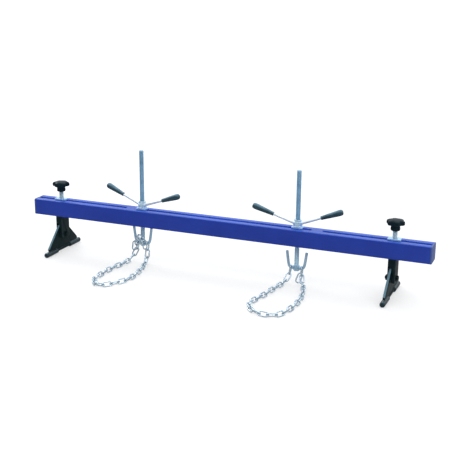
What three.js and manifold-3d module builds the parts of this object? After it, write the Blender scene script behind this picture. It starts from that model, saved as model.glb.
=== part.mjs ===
// Engine support bar: a slotted steel beam on two folding feet, with two screw
// lifts that hang a chain each. Millimetres, +X along the beam, -Y to the front,
// +Z up, origin on the floor under the middle of the beam.
import * as THREE from "three";
import { mergeVertices } from "three/addons/utils/BufferGeometryUtils.js";
import Module from "manifold-3d";

const wasm = await Module();
wasm.setup();

// ---------------------------------------------------------------- dimensions
const GAP = 0.3; // running clearance between touching pieces

// beam: two C channels side by side, an open slot between them
const BEAM_LENGTH = 1520;
const BEAM_WIDTH = 66;
const BEAM_HEIGHT = 60;
const BEAM_BOTTOM = 141;
const BEAM_TOP = BEAM_BOTTOM + BEAM_HEIGHT;
const SLOT_WIDTH = 18;
const WALL = 4;
const CORNER = 6;
const END_PLATE = { thickness: 5, width: 67, height: 61, corner: 6 };
const BRIDGE = { x: 358, length: 40, thickness: 4 };

// feet
const FOOT_X = { left: -659, right: 628 };
const NECK = { width: 27, depth: 50, bottom: 56, wall: 3, headBottom: 122 };
const PIVOT_Z = 67;
const PLATE = { thickness: 8, crown: 42, half: 98, toe: 29, hem: 20, middle: 44, sole: 11 };
const BAR = { radius: 6, z: 9.5, half: 113 };
const SLEEVE = { radius: 9.5, length: 75.7, bore: 68.9 };
const BOLT = { radius: 6, head: 10.4, headLength: 8, nutLength: 10, end: 27 };
const CLAMP_PLATE = { length: 45, width: 28, thickness: 6, tongue: 34 };
const SCREW = { radius: 8, bottom: 130, top: 256 };
const KNOB = { hubBottom: 234, headBottom: 255, headTop: 270, radius: 32, scallop: 3.2, lobes: 6, hub: 16 };
const KNOB_TURN = { left: 22, right: 52 }; // degrees about the screw

// screw lifts
const LIFT_X = { left: -314, right: 288 };
const HOOK_Z = { left: 62, right: 46 };
const ARM_TURN = { left: -10, right: 8 }; // degrees about the rod
const ROD = { radius: 8, length: 359 };
const GUIDE = { length: 39, width: 28, thickness: 6, tongue: 28 };
const WASHER = { radius: 17, thickness: 3 };
const NUT = { flange: 15.5, flangeHeight: 14, hex: 13.9, height: 22 };
const ARM = { radius: 4, slope: 20, axisZ: 214, reach: 160 };
const GRIP = { start: 91, length: 80, bore: 69.4 };
const ARM_EXTRA = { left: { inner: 6, outer: 0 }, right: { inner: 0, outer: -6 } };
const HOOK_HUB = { radius: 12, height: 18 };
const PRONG_RADIUS = 5;

// chains, as the outer round of their links
const CHAIN_RADIUS = 7;
const CHAIN_SIDES = 8;
const CHAIN_STEPS = 52;

// ---------------------------------------------------------------- materials
const paint = { color: 0x25379a, roughness: 0.42, metalness: 0.15 };
const black = { color: 0x1b2022, roughness: 0.5, metalness: 0.2 };
const zinc = { color: 0xb9cbd6, roughness: 0.35, metalness: 0.9 };
const rubber = { color: 0x1d2424, roughness: 0.75, metalness: 0 };
const plastic = { color: 0x10161a, roughness: 0.45, metalness: 0 };

// ------------------------------------------------------------------ helpers
function signedVolume(geometry) {
  const p = geometry.attributes.position;
  const i = geometry.index;
  const a = new THREE.Vector3();
  const b = new THREE.Vector3();
  const c = new THREE.Vector3();
  let sum = 0;
  for (let t = 0; t < i.count; t += 3) {
    a.fromBufferAttribute(p, i.getX(t));
    b.fromBufferAttribute(p, i.getX(t + 1));
    c.fromBufferAttribute(p, i.getX(t + 2));
    sum += a.dot(b.cross(c)) / 6;
  }
  return sum;
}

// One closed surface with shared vertices and its faces pointing out.
function closed(geometry) {
  let g = geometry.clone();
  g.deleteAttribute("normal");
  g.deleteAttribute("uv");
  g = mergeVertices(g, 1e-4);
  const index = [];
  for (let t = 0; t < g.index.count; t += 3) {
    const [a, b, c] = [g.index.getX(t), g.index.getX(t + 1), g.index.getX(t + 2)];
    if (a !== b && b !== c && c !== a) index.push(a, b, c);
  }
  g.setIndex(index);
  if (signedVolume(g) < 0) {
    for (let t = 0; t < index.length; t += 3) [index[t], index[t + 1]] = [index[t + 1], index[t]];
    g.setIndex(index);
  }
  return g;
}

function solid(geometry) {
  const g = closed(geometry);
  return new wasm.Manifold(
    new wasm.Mesh({
      numProp: 3,
      vertProperties: new Float32Array(g.attributes.position.array),
      triVerts: new Uint32Array(g.index.array),
    }),
  );
}

function geometryOf(manifold) {
  const mesh = manifold.getMesh();
  const g = new THREE.BufferGeometry();
  const n = mesh.numProp;
  const out = new Float32Array((mesh.vertProperties.length / n) * 3);
  for (let v = 0; v < out.length / 3; v += 1) {
    for (let k = 0; k < 3; k += 1) out[v * 3 + k] = mesh.vertProperties[v * n + k];
  }
  g.setAttribute("position", new THREE.BufferAttribute(out, 3));
  g.setIndex(new THREE.BufferAttribute(new Uint32Array(mesh.triVerts), 1));
  return g;
}

function join(...parts) {
  return parts.map(solid).reduce((a, b) => a.add(b));
}

function cut(base, ...tools) {
  return tools.map(solid).reduce((a, b) => a.subtract(b), base);
}

function box(x0, x1, y0, y1, z0, z1) {
  const g = new THREE.BoxGeometry(x1 - x0, y1 - y0, z1 - z0);
  g.translate((x0 + x1) / 2, (y0 + y1) / 2, (z0 + z1) / 2);
  return g;
}

// A turned piece: profile of [radius, height] pairs, about the vertical.
function turned(profile, segments = 16) {
  const g = new THREE.LatheGeometry(
    profile.map(([r, h]) => new THREE.Vector2(r, h)),
    segments,
  );
  g.rotateX(Math.PI / 2);
  return g;
}

function rod(radius, z0, z1, segments = 16) {
  return turned([[0, z0], [radius, z0], [radius, z1], [0, z1]], segments);
}

// The same, lying along X or Y.
function alongX(geometry) {
  return geometry.rotateY(Math.PI / 2);
}
function alongY(geometry) {
  return geometry.rotateX(-Math.PI / 2);
}

// A profile drawn in Y and Z, extruded along X from x0 to x1.
function extrudeX(points, x0, x1, holes = []) {
  const shape = new THREE.Shape(points.map(([y, z]) => new THREE.Vector2(y, z)));
  for (const h of holes) shape.holes.push(new THREE.Path(h.map(([y, z]) => new THREE.Vector2(y, z))));
  const g = new THREE.ExtrudeGeometry(shape, { depth: x1 - x0, bevelEnabled: false, steps: 1 });
  g.applyMatrix4(
    new THREE.Matrix4().makeBasis(
      new THREE.Vector3(0, 1, 0),
      new THREE.Vector3(0, 0, 1),
      new THREE.Vector3(1, 0, 0),
    ),
  );
  g.translate(x0, 0, 0);
  return g;
}

function arc(cy, cz, radius, from, to, steps) {
  const out = [];
  for (let k = 0; k <= steps; k += 1) {
    const a = THREE.MathUtils.degToRad(from + ((to - from) * k) / steps);
    out.push([cy + radius * Math.cos(a), cz + radius * Math.sin(a)]);
  }
  return out;
}

function tube(points, radius, sides, steps, tension = 0.5) {
  const path = new THREE.CatmullRomCurve3(
    points.map(([x, y, z]) => new THREE.Vector3(x, y, z)),
    false,
    "centripetal",
    tension,
  );
  const section = new THREE.Shape();
  for (let k = 0; k < sides; k += 1) {
    const a = ((k + 0.5) / sides) * 2 * Math.PI;
    const [u, v] = [radius * Math.cos(a), radius * Math.sin(a)];
    if (k === 0) section.moveTo(u, v);
    else section.lineTo(u, v);
  }
  section.closePath();
  return new THREE.ExtrudeGeometry(section, { steps, extrudePath: path, bevelEnabled: false });
}

const group = new THREE.Group();

function piece(name, geometry, look, parent = group) {
  const mesh = new THREE.Mesh(closed(geometry), new THREE.MeshStandardMaterial(look));
  mesh.name = name;
  parent.add(mesh);
  return mesh;
}

// --------------------------------------------------------------------- beam
function channel(side) {
  const w = BEAM_WIDTH / 2;
  const s = SLOT_WIDTH / 2;
  const inner = CORNER - WALL;
  const points = [
    [-s, BEAM_BOTTOM],
    ...arc(-w + CORNER, BEAM_BOTTOM + CORNER, CORNER, 270, 180, 4),
    ...arc(-w + CORNER, BEAM_TOP - CORNER, CORNER, 180, 90, 4),
    [-s, BEAM_TOP],
    [-s, BEAM_TOP - WALL],
    ...arc(-w + CORNER, BEAM_TOP - CORNER, inner, 90, 180, 2),
    ...arc(-w + CORNER, BEAM_BOTTOM + CORNER, inner, 180, 270, 2),
    [-s, BEAM_BOTTOM + WALL],
  ].map(([y, z]) => [side === "front" ? y : -y, z]);
  const half = BEAM_LENGTH / 2 - END_PLATE.thickness - GAP;
  return extrudeX(points, -half, half);
}

piece("beam_front_channel", channel("front"), paint);
piece("beam_rear_channel", channel("rear"), paint);

for (const [side, sign] of [["left", -1], ["right", 1]]) {
  const { thickness, width, height, corner } = END_PLATE;
  const zc = BEAM_BOTTOM + BEAM_HEIGHT / 2;
  const [w, h] = [width / 2 - corner, height / 2 - corner];
  const outline = [
    ...arc(w, zc - h, corner, -90, 0, 3),
    ...arc(w, zc + h, corner, 0, 90, 3),
    ...arc(-w, zc + h, corner, 90, 180, 3),
    ...arc(-w, zc - h, corner, 180, 270, 3),
  ];
  const outer = (sign * BEAM_LENGTH) / 2;
  const inner = outer - sign * thickness;
  piece(`beam_end_plate_${side}`, extrudeX(outline, Math.min(inner, outer), Math.max(inner, outer)), paint);

  const y = SLOT_WIDTH / 2 - GAP;
  const [x0, x1] = [sign * BRIDGE.x - BRIDGE.length / 2, sign * BRIDGE.x + BRIDGE.length / 2];
  piece(`slot_bridge_top_${side}`, box(x0, x1, -y, y, BEAM_TOP - BRIDGE.thickness, BEAM_TOP), paint);
  piece(`slot_bridge_bottom_${side}`, box(x0, x1, -y, y, BEAM_BOTTOM, BEAM_BOTTOM + BRIDGE.thickness), paint);
}

// --------------------------------------------------------------------- feet
function neck() {
  const [w, d] = [NECK.width / 2, NECK.depth / 2];
  const top = BEAM_BOTTOM - GAP;
  const tongue = SLOT_WIDTH / 2 - 0.4;
  const body = join(
    box(-w, w, -d, d, NECK.bottom, top),
    box(-11, 11, -tongue, tongue, top - 1, top + 5),
  );
  const inside = w - NECK.wall;
  return geometryOf(
    cut(
      body,
      box(-inside, inside, -d + NECK.wall, d - NECK.wall, NECK.bottom - 1, NECK.headBottom),
      box(-inside, 0.8, -d - 1, d + 1, NECK.bottom - 1, PIVOT_Z + PLATE.crown + 1),
      rod(SCREW.radius + GAP, NECK.headBottom - 1, top + 6),
      alongX(rod(BOLT.radius + GAP, -w - 1, w + 1)).translate(0, 0, PIVOT_Z),
    ),
  );
}

function footPlate() {
  const { thickness, crown, half, toe, hem, middle, sole } = PLATE;
  const drop = toe - PIVOT_Z;
  const reach = Math.hypot(half, drop);
  const touch =
    THREE.MathUtils.radToDeg(Math.atan2(drop, half) + Math.acos(crown / reach));
  const outline = [
    [half, hem],
    [half, toe],
    ...arc(0, PIVOT_Z, crown, touch, 180 - touch, 10),
    [-half, toe],
    [-half, hem],
    [-middle, hem],
    [-middle, sole],
    [middle, sole],
    [middle, hem],
  ];
  const bar = alongY(
    turned(
      [
        [0, -BAR.half],
        [BAR.radius - 1, -BAR.half],
        [BAR.radius, -BAR.half + 1],
        [BAR.radius, BAR.half - 1],
        [BAR.radius - 1, BAR.half],
        [0, BAR.half],
      ],
      12,
    ),
  ).translate(-thickness / 2, 0, BAR.z);
  return geometryOf(
    cut(
      join(extrudeX(outline, -thickness, 0), bar),
      alongX(rod(BOLT.radius + GAP, -thickness - 1, 1)).translate(0, 0, PIVOT_Z),
    ),
  );
}

function sleeve(sign) {
  const { radius, length, bore } = SLEEVE;
  const b = BAR.radius + GAP;
  const g = turned(
    [
      [0, bore],
      [b, bore],
      [b, 0],
      [radius - 0.8, 0],
      [radius, 0.8],
      [radius, length - 7],
      [radius * 0.92, length - 3.8],
      [radius * 0.7, length - 1.4],
      [radius * 0.36, length - 0.3],
      [0, length],
    ],
    12,
  );
  alongY(g); // its open end faces the middle of the foot
  if (sign < 0) g.rotateZ(Math.PI);
  return g.translate(-PLATE.thickness / 2, sign * (PLATE.middle + GAP), BAR.z);
}

function hexagon(radius, z0, z1) {
  return turned([[0, z0], [radius, z0], [radius, z1], [0, z1]], 6);
}

function pivotBolt() {
  const w = NECK.width / 2 + GAP;
  return geometryOf(
    join(
      alongX(hexagon(BOLT.head, w, w + BOLT.headLength)),
      alongX(rod(BOLT.radius, -BOLT.end, w + 1)),
    ),
  ).translate(0, 0, PIVOT_Z);
}

function pivotNut() {
  const w = NECK.width / 2 + GAP;
  return geometryOf(
    cut(
      solid(alongX(hexagon(BOLT.head, -w - BOLT.nutLength, -w))),
      alongX(rod(BOLT.radius + GAP, -w - BOLT.nutLength - 1, -w + 1)),
    ),
  ).translate(0, 0, PIVOT_Z);
}

function pivotSpacer() {
  const b = BOLT.radius + GAP;
  const [x0, x1] = [GAP, NECK.width / 2 - NECK.wall - GAP];
  return alongX(turned([[b, x0], [10, x0], [10, x1], [b, x1], [b, x0]], 12)).translate(0, 0, PIVOT_Z);
}

// A plate over the slot with a tongue down into it and a hole for the screw.
function slotPlate({ length, width, thickness, tongue }) {
  const z = BEAM_TOP + GAP;
  const y = SLOT_WIDTH / 2 - 0.4;
  return geometryOf(
    cut(
      join(
        box(-length / 2, length / 2, -width / 2, width / 2, z, z + thickness),
        box(-tongue / 2, tongue / 2, -y, y, z - 6, z + 1),
      ),
      rod(8.5, z - 7, z + thickness + 1),
    ),
  );
}

function clampScrew() {
  const { radius, bottom, top } = SCREW;
  return turned(
    [[0, bottom], [radius - 1.2, bottom], [radius, bottom + 1.4], [radius, top], [0, top]],
  );
}

function starKnob() {
  const { hubBottom, headBottom, headTop, radius, scallop, lobes, hub } = KNOB;
  const bevel = 2;
  const outline = [];
  for (let k = 0; k < lobes * 6; k += 1) {
    const a = (k / (lobes * 6)) * 2 * Math.PI;
    const r = radius - bevel - scallop * (1 - Math.cos(lobes * a));
    outline.push(new THREE.Vector2(r * Math.cos(a), r * Math.sin(a)));
  }
  const head = new THREE.ExtrudeGeometry(new THREE.Shape(outline), {
    depth: headTop - headBottom - 2 * bevel,
    bevelEnabled: true,
    bevelThickness: bevel,
    bevelSize: bevel,
    bevelSegments: 1,
    steps: 1,
  }).translate(0, 0, headBottom + bevel);
  const core = turned(
    [
      [0, hubBottom],
      [hub - 1.5, hubBottom],
      [hub, hubBottom + 2],
      [hub - 1, headBottom + 1],
      [hub + 6, headTop - 1],
      [hub + 4, headTop + 1.2],
      [hub - 6, headTop + 2.4],
      [0, headTop + 2.6],
    ],
    18,
  );
  return geometryOf(cut(join(head, core), rod(SCREW.radius + GAP, hubBottom - 1, SCREW.top + GAP)));
}

for (const side of ["left", "right"]) {
  const foot = new THREE.Group();
  foot.position.x = FOOT_X[side];
  group.add(foot);
  piece(`foot_neck_${side}`, neck(), black, foot);
  piece(`foot_plate_${side}`, footPlate(), black, foot);
  piece(`foot_sleeve_front_${side}`, sleeve(-1), rubber, foot);
  piece(`foot_sleeve_rear_${side}`, sleeve(1), rubber, foot);
  piece(`foot_pivot_bolt_${side}`, pivotBolt(), black, foot);
  piece(`foot_pivot_nut_${side}`, pivotNut(), black, foot);
  piece(`foot_pivot_spacer_${side}`, pivotSpacer(), black, foot);
  piece(`foot_clamp_plate_${side}`, slotPlate(CLAMP_PLATE), zinc, foot);
  piece(`foot_clamp_screw_${side}`, clampScrew(), zinc, foot);
  piece(`foot_star_knob_${side}`, starKnob(), plastic, foot).rotation.z = THREE.MathUtils.degToRad(KNOB_TURN[side]);
}

// -------------------------------------------------------------- screw lifts
const GUIDE_TOP = BEAM_TOP + GAP + GUIDE.thickness;
const WASHER_TOP = GUIDE_TOP + GAP + WASHER.thickness;
const NUT_BOTTOM = WASHER_TOP + GAP;

function ring(inner, outer, z0, z1, segments = 20) {
  return turned([[inner, z0], [outer, z0], [outer, z1], [inner, z1], [inner, z0]], segments);
}

function liftNut() {
  const z = NUT_BOTTOM;
  return geometryOf(
    cut(
      join(
        turned([
          [0, z],
          [NUT.flange - 0.8, z],
          [NUT.flange, z + 0.8],
          [NUT.flange, z + NUT.flangeHeight - 1],
          [NUT.flange - 1, z + NUT.flangeHeight],
          [0, z + NUT.flangeHeight],
        ]),
        hexagon(NUT.hex, z + 1, z + NUT.height),
      ),
      rod(ROD.radius + GAP, z - 1, z + NUT.height + 1),
    ),
  );
}

// Arms and grips are drawn upright, then leaned over to the arm's slope.
function leaned(geometry, sign) {
  const lean = THREE.MathUtils.degToRad(90 - ARM.slope);
  geometry.rotateY(lean);
  if (sign < 0) geometry.rotateZ(Math.PI);
  return geometry.translate(0, 0, ARM.axisZ);
}

function arm(sign, extra) {
  const reach = ARM.reach + extra;
  const bar = turned([[0, 6], [ARM.radius, 6], [ARM.radius, reach], [0, reach]], 10);
  return geometryOf(cut(solid(leaned(bar, sign)), rod(NUT.flange + GAP, 200, 245, 24)));
}

function grip(sign, extra) {
  const { length, bore } = GRIP;
  const start = GRIP.start + extra;
  const b = ARM.radius + GAP;
  return leaned(
    turned(
      [
        [0, start + bore],
        [b, start + bore],
        [b, start],
        [6.2, start],
        [7.2, start + 1.5],
        [7.8, start + 16],
        [10.4, start + length - 22],
        [10.8, start + length - 8],
        [10.2, start + length - 3],
        [7.6, start + length - 0.6],
        [0, start + length],
      ],
      12,
    ),
    sign,
  );
}

function liftRod(z0) {
  const top = z0 + ROD.length;
  return turned([
    [0, z0],
    [ROD.radius - 1, z0],
    [ROD.radius, z0 + 1.2],
    [ROD.radius, top - 1.6],
    [ROD.radius - 1.4, top],
    [0, top],
  ]);
}

function doubleHook(z0) {
  const prong = (sign) =>
    tube(
      [
        [9.8, 11.5],
        [15, 9.6],
        [20.5, 9.4],
        [26, 14.5],
        [29.6, 25],
        [31.8, 38],
        [34, 54],
        [36, 69],
      ].map(([x, z]) => [sign * x, 0, z0 + z]),
      PRONG_RADIUS,
      8,
      11,
    );
  return geometryOf(
    cut(
      join(
        turned([
          [0, z0],
          [HOOK_HUB.radius - 1, z0],
          [HOOK_HUB.radius, z0 + 1.5],
          [HOOK_HUB.radius, z0 + HOOK_HUB.height - 3],
          [HOOK_HUB.radius - 2, z0 + HOOK_HUB.height],
          [0, z0 + HOOK_HUB.height],
        ]),
        prong(-1),
        prong(1),
      ),
      rod(ROD.radius + GAP, z0 - 1, z0 + HOOK_HUB.height + 1),
    ),
  );
}

for (const side of ["left", "right"]) {
  const lift = new THREE.Group();
  lift.position.x = LIFT_X[side];
  group.add(lift);
  piece(`lift_guide_plate_${side}`, slotPlate(GUIDE), zinc, lift);
  piece(`lift_thrust_washer_${side}`, ring(8.5, WASHER.radius, GUIDE_TOP + GAP, WASHER_TOP), zinc, lift);

  const turning = new THREE.Group();
  turning.rotation.z = THREE.MathUtils.degToRad(ARM_TURN[side]);
  lift.add(turning);
  piece(`lift_nut_${side}`, liftNut(), zinc, turning);
  const { inner, outer } = ARM_EXTRA[side];
  piece(`lift_arm_inner_${side}`, arm(side === "left" ? 1 : -1, inner), zinc, turning);
  piece(`lift_arm_outer_${side}`, arm(side === "left" ? -1 : 1, outer), zinc, turning);
  piece(`lift_grip_inner_${side}`, grip(side === "left" ? 1 : -1, inner), rubber, turning);
  piece(`lift_grip_outer_${side}`, grip(side === "left" ? -1 : 1, outer), rubber, turning);

  piece(`lift_rod_${side}`, liftRod(HOOK_Z[side]), zinc, lift);
  piece(`lift_double_hook_${side}`, doubleHook(HOOK_Z[side]), zinc, lift);
}

// ------------------------------------------------------------------- chains
// Each hangs from one prong of a double hook, lies on the floor in a long loop
// to the front and comes back up to the other prong.
const FLOOR = 9; // height of a chain's centre line where it lies down
const CHAINS = {
  left: [
    [-334, 0, 64.6],
    [-335, 0, 56],
    [-341, -2, 40],
    [-350, -7, 22],
    [-356, -20, 11],
    [-358, -42, FLOOR],
    [-357, -66, FLOOR],
    [-362, -94, FLOOR],
    [-368, -126, FLOOR],
    [-372, -160, FLOOR],
    [-373, -199, FLOOR],
    [-373, -232, FLOOR],
    [-367, -268, FLOOR],
    [-352, -298, FLOOR],
    [-329, -313, FLOOR],
    [-307, -305, FLOOR],
    [-291, -284, FLOOR],
    [-275, -259, FLOOR],
    [-263, -234, FLOOR],
    [-257, -204, FLOOR],
    [-259, -169, FLOOR],
    [-263, -134, FLOOR],
    [-269, -98, FLOOR],
    [-279, -62, FLOOR],
    [-288, -32, 10.5],
    [-292, -12, 22],
    [-294, -2, 42],
    [-294, 0, 64.6],
  ],
  right: [
    [268, 0, 48.6],
    [267, 0, 41],
    [262, -3, 28],
    [257, -13, 14],
    [254, -32, 10],
    [252, -54, FLOOR],
    [249, -78, FLOOR],
    [243, -106, FLOOR],
    [239, -138, FLOOR],
    [235, -168, FLOOR],
    [229, -202, FLOOR],
    [221, -233, FLOOR],
    [216, -265, FLOOR],
    [226, -299, FLOOR],
    [248, -326, FLOOR],
    [276, -341, FLOOR],
    [306, -345, FLOOR],
    [333, -334, FLOOR],
    [349, -304, FLOOR],
    [356, -270, FLOOR],
    [360, -236, FLOOR],
    [361, -203, FLOOR],
    [359, -170, FLOOR],
    [354, -134, FLOOR],
    [346, -98, FLOOR],
    [335, -64, FLOOR],
    [322, -32, 10.2],
    [312, -12, 18],
    [308, -2, 32],
    [308, 0, 48.6],
  ],
};
for (const side of ["left", "right"]) {
  piece(`chain_${side}`, tube(CHAINS[side], CHAIN_RADIUS, CHAIN_SIDES, CHAIN_STEPS), zinc);
}

export default group;
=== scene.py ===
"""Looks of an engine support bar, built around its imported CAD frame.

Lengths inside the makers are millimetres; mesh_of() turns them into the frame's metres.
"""

import math
import random

import bpy
import bmesh
import numpy as np
from mathutils import Matrix, Vector


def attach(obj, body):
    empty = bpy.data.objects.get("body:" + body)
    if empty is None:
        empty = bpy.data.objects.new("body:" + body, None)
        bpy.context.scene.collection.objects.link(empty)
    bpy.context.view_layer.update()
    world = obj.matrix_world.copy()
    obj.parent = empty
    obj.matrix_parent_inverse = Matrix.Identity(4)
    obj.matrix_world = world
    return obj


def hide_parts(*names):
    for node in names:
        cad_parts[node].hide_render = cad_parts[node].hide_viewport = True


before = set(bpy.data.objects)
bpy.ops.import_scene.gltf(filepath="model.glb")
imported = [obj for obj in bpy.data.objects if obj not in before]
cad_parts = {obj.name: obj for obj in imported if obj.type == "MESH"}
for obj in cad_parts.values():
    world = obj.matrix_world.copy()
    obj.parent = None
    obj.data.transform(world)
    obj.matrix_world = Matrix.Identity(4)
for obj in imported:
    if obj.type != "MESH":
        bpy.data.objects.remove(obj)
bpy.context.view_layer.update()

MM = 0.001
SIDES = ("left", "right")

# ------------------------------------------------------------------ the camera
def make_camera():
    yaw, pitch, roll = (math.radians(a) for a in (-21.841, 16.957, 0.586))
    ahead = Vector((math.sin(yaw) * math.cos(pitch), math.cos(yaw) * math.cos(pitch), -math.sin(pitch)))
    level = Vector((math.cos(yaw), -math.sin(yaw), 0.0))
    lift = level.cross(ahead)
    right = math.cos(roll) * level + math.sin(roll) * lift
    up = -math.sin(roll) * level + math.cos(roll) * lift
    data = bpy.data.cameras.new("camera")
    data.sensor_width = 36.0
    data.lens = 36.0 * 945.8 / 470.0
    data.clip_start, data.clip_end = 0.05, 200.0
    cam = bpy.data.objects.new("camera", data)
    bpy.context.scene.collection.objects.link(cam)
    place = Matrix((right, up, -ahead)).transposed().to_4x4()
    place.translation = Vector((1.2540, -2.9924, 1.1303))
    cam.matrix_world = place
    bpy.context.scene.camera = cam


make_camera()


# ------------------------------------------------------------------- materials
def ramp(nodes, links, source, stops):
    n = nodes.new("ShaderNodeValToRGB")
    e = n.color_ramp.elements
    e[0].position, e[0].color = stops[0][0], (*stops[0][1], 1)
    e[1].position, e[1].color = stops[-1][0], (*stops[-1][1], 1)
    for at, colour in stops[1:-1]:
        k = e.new(at)
        k.color = (*colour, 1)
    links.new(source, n.inputs["Fac"])
    return n.outputs["Color"]


def noise_of(nodes, links, vector, scale, detail=3.0, rough=0.55, stretch=None):
    if stretch:
        m = nodes.new("ShaderNodeMapping")
        m.inputs["Scale"].default_value = stretch
        links.new(vector, m.inputs["Vector"])
        vector = m.outputs["Vector"]
    n = nodes.new("ShaderNodeTexNoise")
    n.inputs["Scale"].default_value = scale
    n.inputs["Detail"].default_value = detail
    n.inputs["Roughness"].default_value = rough
    links.new(vector, n.inputs["Vector"])
    return n.outputs["Fac"]


def span(nodes, links, source, a, b, c, d):
    n = nodes.new("ShaderNodeMapRange")
    for k, v in zip(("From Min", "From Max", "To Min", "To Max"), (a, b, c, d)):
        n.inputs[k].default_value = v
    links.new(source, n.inputs["Value"])
    return n.outputs["Result"]


def math_of(nodes, links, op, a, b):
    n = nodes.new("ShaderNodeMath")
    n.operation = op
    for i, v in enumerate((a, b)):
        if isinstance(v, (int, float)):
            n.inputs[i].default_value = v
        else:
            links.new(v, n.inputs[i])
    return n.outputs["Value"]


def mixed(nodes, links, fac, a, b, kind="MIX"):
    n = nodes.new("ShaderNodeMix")
    n.data_type = "RGBA"
    n.blend_type = kind
    sockets = [s for s in n.inputs if s.type == "RGBA"]
    if isinstance(fac, (int, float)):
        n.inputs[0].default_value = fac
    else:
        links.new(fac, n.inputs[0])
    for s, v in zip(sockets, (a, b)):
        if isinstance(v, tuple):
            s.default_value = (*v, 1)
        else:
            links.new(v, s)
    return next(s for s in n.outputs if s.type == "RGBA")


def attribute(nodes, name):
    n = nodes.new("ShaderNodeAttribute")
    n.attribute_name = name
    return n.outputs["Fac"]


def blank(name):
    m = bpy.data.materials.new(name)
    m.use_nodes = True
    nodes, links = m.node_tree.nodes, m.node_tree.links
    nodes.clear()
    out = nodes.new("ShaderNodeOutputMaterial")
    b = nodes.new("ShaderNodeBsdfPrincipled")
    links.new(b.outputs["BSDF"], out.inputs["Surface"])
    at = nodes.new("ShaderNodeTexCoord").outputs["Object"]
    return m, nodes, links, b, at


def bumps(nodes, links, b, layers):
    """layers of (height, strength, distance in metres), each on the one before."""
    normal = None
    for height, strength, distance in layers:
        n = nodes.new("ShaderNodeBump")
        n.inputs["Strength"].default_value = strength
        n.inputs["Distance"].default_value = distance
        links.new(height, n.inputs["Height"])
        if normal is not None:
            links.new(normal, n.inputs["Normal"])
        normal = n.outputs["Normal"]
    links.new(normal, b.inputs["Normal"])


def paint(name, deep, light, edge, rough, peel=0.10, coat=0.0, gloss=0.25, painted_light=None, rim=None, sheen=None):
    m, nodes, links, b, at = blank(name)
    cloud = noise_of(nodes, links, at, 9.0, 4.0)
    speck = noise_of(nodes, links, at, 420.0, 2.0)
    colour = ramp(nodes, links, cloud, [(0.3, deep), (0.7, light)])
    # edge wear, and also a painted highlight: convex edges are mixed towards the lighter edge colour
    worn_and_lit = span(nodes, links, attribute(nodes, "edge"), 0.25, 0.85, 0.0, 0.5)
    worn_and_lit = math_of(nodes, links, "MULTIPLY", worn_and_lit, span(nodes, links, noise_of(nodes, links, at, 60.0, 5.0, 0.7), 0.4, 0.62, 0.25, 1.0))
    colour = mixed(nodes, links, worn_and_lit, colour, edge)
    if rim:
        # painted highlight: the narrow faces that slope up to the front are lightened towards the rim colour, standing
        # in for the light they catch
        rim_highlight = math_of(nodes, links, "MULTIPLY", attribute(nodes, "rim"), span(nodes, links, noise_of(nodes, links, at, 85.0, 4.0, 0.65), 0.3, 0.6, 0.72, 1.0))
        colour = mixed(nodes, links, rim_highlight, colour, rim)
    # specks of dust, lighter than the coat
    dust_and_sheen = span(nodes, links, speck, 0.62, 0.78, 0.0, 0.10)
    colour = mixed(nodes, links, dust_and_sheen, colour, tuple(min(1.0, 0.1 + 1.4 * c) for c in light))
    if painted_light:
        # painted highlight: faces that look up are mixed towards a lighter blue, standing in for the light from above
        up = nodes.new("ShaderNodeSeparateXYZ")
        links.new(nodes.new("ShaderNodeNewGeometry").outputs["Normal"], up.inputs["Vector"])
        top = span(nodes, links, up.outputs["Z"], 0.45, 0.95, 0.0, painted_light[1])
        colour = mixed(nodes, links, top, colour, painted_light[0])
        # painted light: the rims of the slot and the inside of the channels are lightened, standing in for the light
        # that reaches into them
        place = nodes.new("ShaderNodeSeparateXYZ")
        links.new(at, place.inputs["Vector"])
        across = math_of(nodes, links, "ABSOLUTE", place.outputs["Y"], 0.0)
        rims = math_of(nodes, links, "MULTIPLY", math_of(nodes, links, "LESS_THAN", across, 0.0094), math_of(nodes, links, "LESS_THAN", up.outputs["Z"], 0.6))
        height = math_of(nodes, links, "ABSOLUTE", math_of(nodes, links, "SUBTRACT", place.outputs["Z"], 0.171), 0.0)
        hollow = math_of(nodes, links, "MULTIPLY", math_of(nodes, links, "LESS_THAN", across, 0.0294), math_of(nodes, links, "LESS_THAN", height, 0.0294))
        inside = math_of(nodes, links, "MAXIMUM", rims, hollow)
        colour = mixed(nodes, links, math_of(nodes, links, "MULTIPLY", inside, 0.85), colour, painted_light[2])
        # painted shade: the round under the face, facing down, is darkened to stand in for its own shade
        under = span(nodes, links, up.outputs["Z"], -0.35, -0.9, 0.0, 0.55)
        colour = mixed(nodes, links, under, colour, tuple(0.35 * c for c in deep))
    links.new(colour, b.inputs["Base Color"])
    smear = noise_of(nodes, links, at, 22.0, 5.0, 0.6, (0.35, 1.0, 1.0))
    links.new(span(nodes, links, smear, 0.3, 0.7, rough - 0.06, rough + 0.08), b.inputs["Roughness"])
    b.inputs["Coat Weight"].default_value = coat
    b.inputs["Coat Roughness"].default_value = 0.16
    b.inputs["Specular IOR Level"].default_value = gloss
    if sheen:
        b.inputs["Specular Tint"].default_value = (*sheen, 1)
    orange = noise_of(nodes, links, at, 520.0, 2.0, 0.5)
    sag = noise_of(nodes, links, at, 45.0, 2.0, 0.5)
    bumps(nodes, links, b, [(sag, 0.12, 0.0012), (orange, peel, 0.0004)])
    return m


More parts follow.
